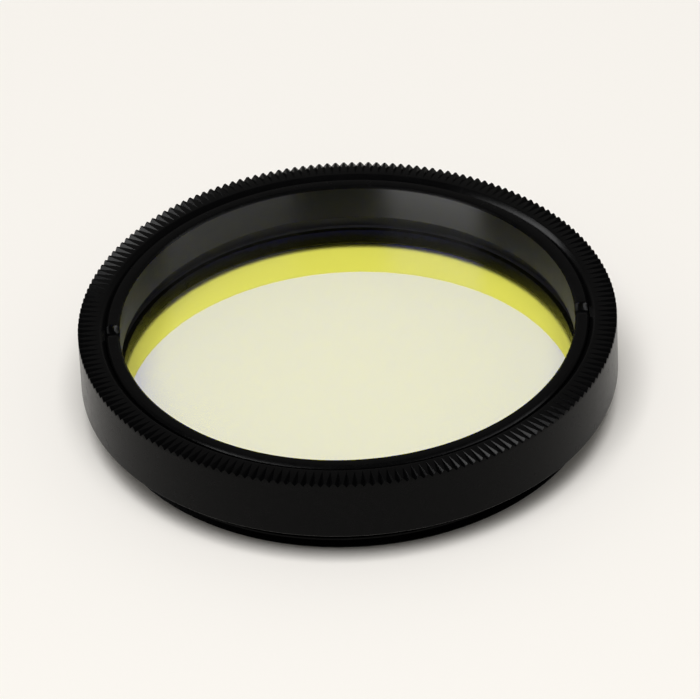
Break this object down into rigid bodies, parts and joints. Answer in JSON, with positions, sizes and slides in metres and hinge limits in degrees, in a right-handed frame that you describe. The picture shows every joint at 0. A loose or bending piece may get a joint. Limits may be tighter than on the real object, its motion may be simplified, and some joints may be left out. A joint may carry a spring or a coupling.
{
  "type": "optical bandpass filter",
  "caption": "Round coated bandpass filter disc held by a screwed ring in a black knurled cell with a male fine thread for an eyepiece barrel.",
  "frame": {"origin": "centre of the flat end of the male thread, on which the filter stands", "axes": "+Z along the optical axis, from the male thread towards the knurled face"},
  "size_m": [0.031, 0.031, 0.0057],
  "materials": {
    "cell": "gloss black anodised",
    "glass": "polished, thin-film coated",
    "ring": "gloss black anodised"
  },
  "bodies": {
    "root": {"filter_cell": "cell", "filter_glass": "glass", "retaining_ring": "ring"}
  },
  "joints": []
}
